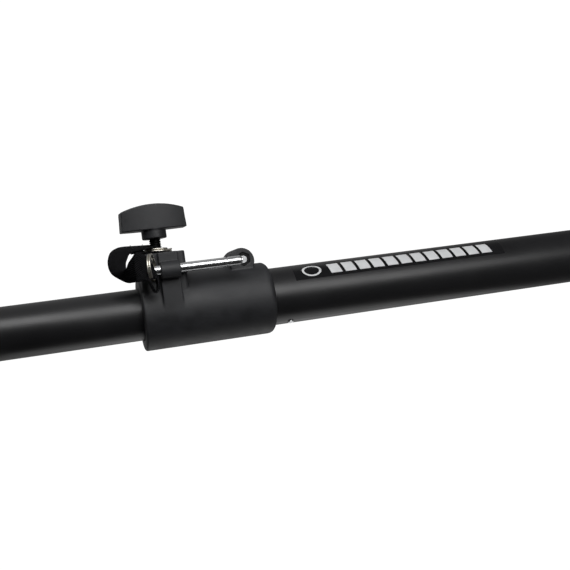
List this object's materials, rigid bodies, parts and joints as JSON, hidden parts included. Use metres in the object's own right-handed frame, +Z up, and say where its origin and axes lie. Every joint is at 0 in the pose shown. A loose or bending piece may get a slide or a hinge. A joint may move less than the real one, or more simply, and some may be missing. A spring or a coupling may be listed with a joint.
{
  "type": "telescopic speaker pole",
  "caption": "Telescopic speaker pole: a tube that slides in a wider tube, a clamp collar with a T-knob, and a safety pin parked on a webbing lanyard.",
  "frame": {"origin": "centre of the lower spigot's end face, on the pole's axis", "axes": "+Z up the pole, outer tube to inner tube; +X towards the T-knob; the parked safety pin is on the -Y side"},
  "size_m": [0.098, 0.0703, 1.0005],
  "materials": {
    "tube_paint": "satin black powder coat",
    "collar_nylon": "matt, fine moulded texture",
    "knob_nylon": "matt, fine moulded texture",
    "white_acetal": "smooth natural acetal",
    "zinc_steel": "bright zinc plate",
    "black_steel": "black oxide",
    "pin_chrome": "polished chrome plate",
    "ring_nickel": "warm nickel plate",
    "webbing": "black twill webbing",
    "label_film": "gloss film"
  },
  "bodies": {
    "outer_pole": {"outer_tube": "tube_paint", "clamp_collar": "collar_nylon", "guide_sleeve": "white_acetal", "sleeve_rivets": "zinc_steel", "clamp_nut": "zinc_steel", "pinch_bolt": "zinc_steel", "pinch_washer": "zinc_steel", "pinch_nut": "black_steel", "label": "label_film", "spigot_tube": "tube_paint", "spigot_sleeve": "collar_nylon", "spigot_rivets": "zinc_steel", "spigot_cap": "collar_nylon", "anchor_ring": "ring_nickel", "lanyard_strap": "webbing"},
    "pressure_shoe": {"clamp_shoe": "white_acetal"},
    "clamp_knob": {"clamp_screw": "black_steel", "knob_grip": "knob_nylon"},
    "parked_pin": {"safety_pin": "pin_chrome", "pin_ring": "ring_nickel"},
    "sliding_guide": {"glide_ring": "white_acetal"},
    "inner_pole": {"inner_tube": "tube_paint", "glide_plug": "collar_nylon", "top_cap": "collar_nylon"}
  },
  "joints": [
    {"name": "pole_slide", "type": "slide", "parent": "outer_pole", "child": "sliding_guide", "axis": [0, 0, 1], "range_m": [-0.058, 0.45]},
    {"name": "pole_turn", "type": "hinge", "parent": "sliding_guide", "child": "inner_pole", "pos_m": [0, 0, 0.21], "axis": [0, 0, 1], "continuous": true},
    {"name": "clamp_travel", "type": "slide", "parent": "outer_pole", "child": "pressure_shoe", "axis": [1, 0, 0], "range_m": [0, 0.002]},
    {"name": "knob_turn", "type": "hinge", "parent": "pressure_shoe", "child": "clamp_knob", "pos_m": [0.05, 0, 0.832], "axis": [1, 0, 0], "range_deg": [0, 540]},
    {"name": "pin_slide", "type": "slide", "parent": "outer_pole", "child": "parked_pin", "axis": [0, 0, 1], "range_m": [0, 0.055], "deforming": ["lanyard_strap"]}
  ],
  "couplings": [
    {"joint": "clamp_travel", "follows": "knob_turn", "m_per_rad": 0.00019894}
  ]
}
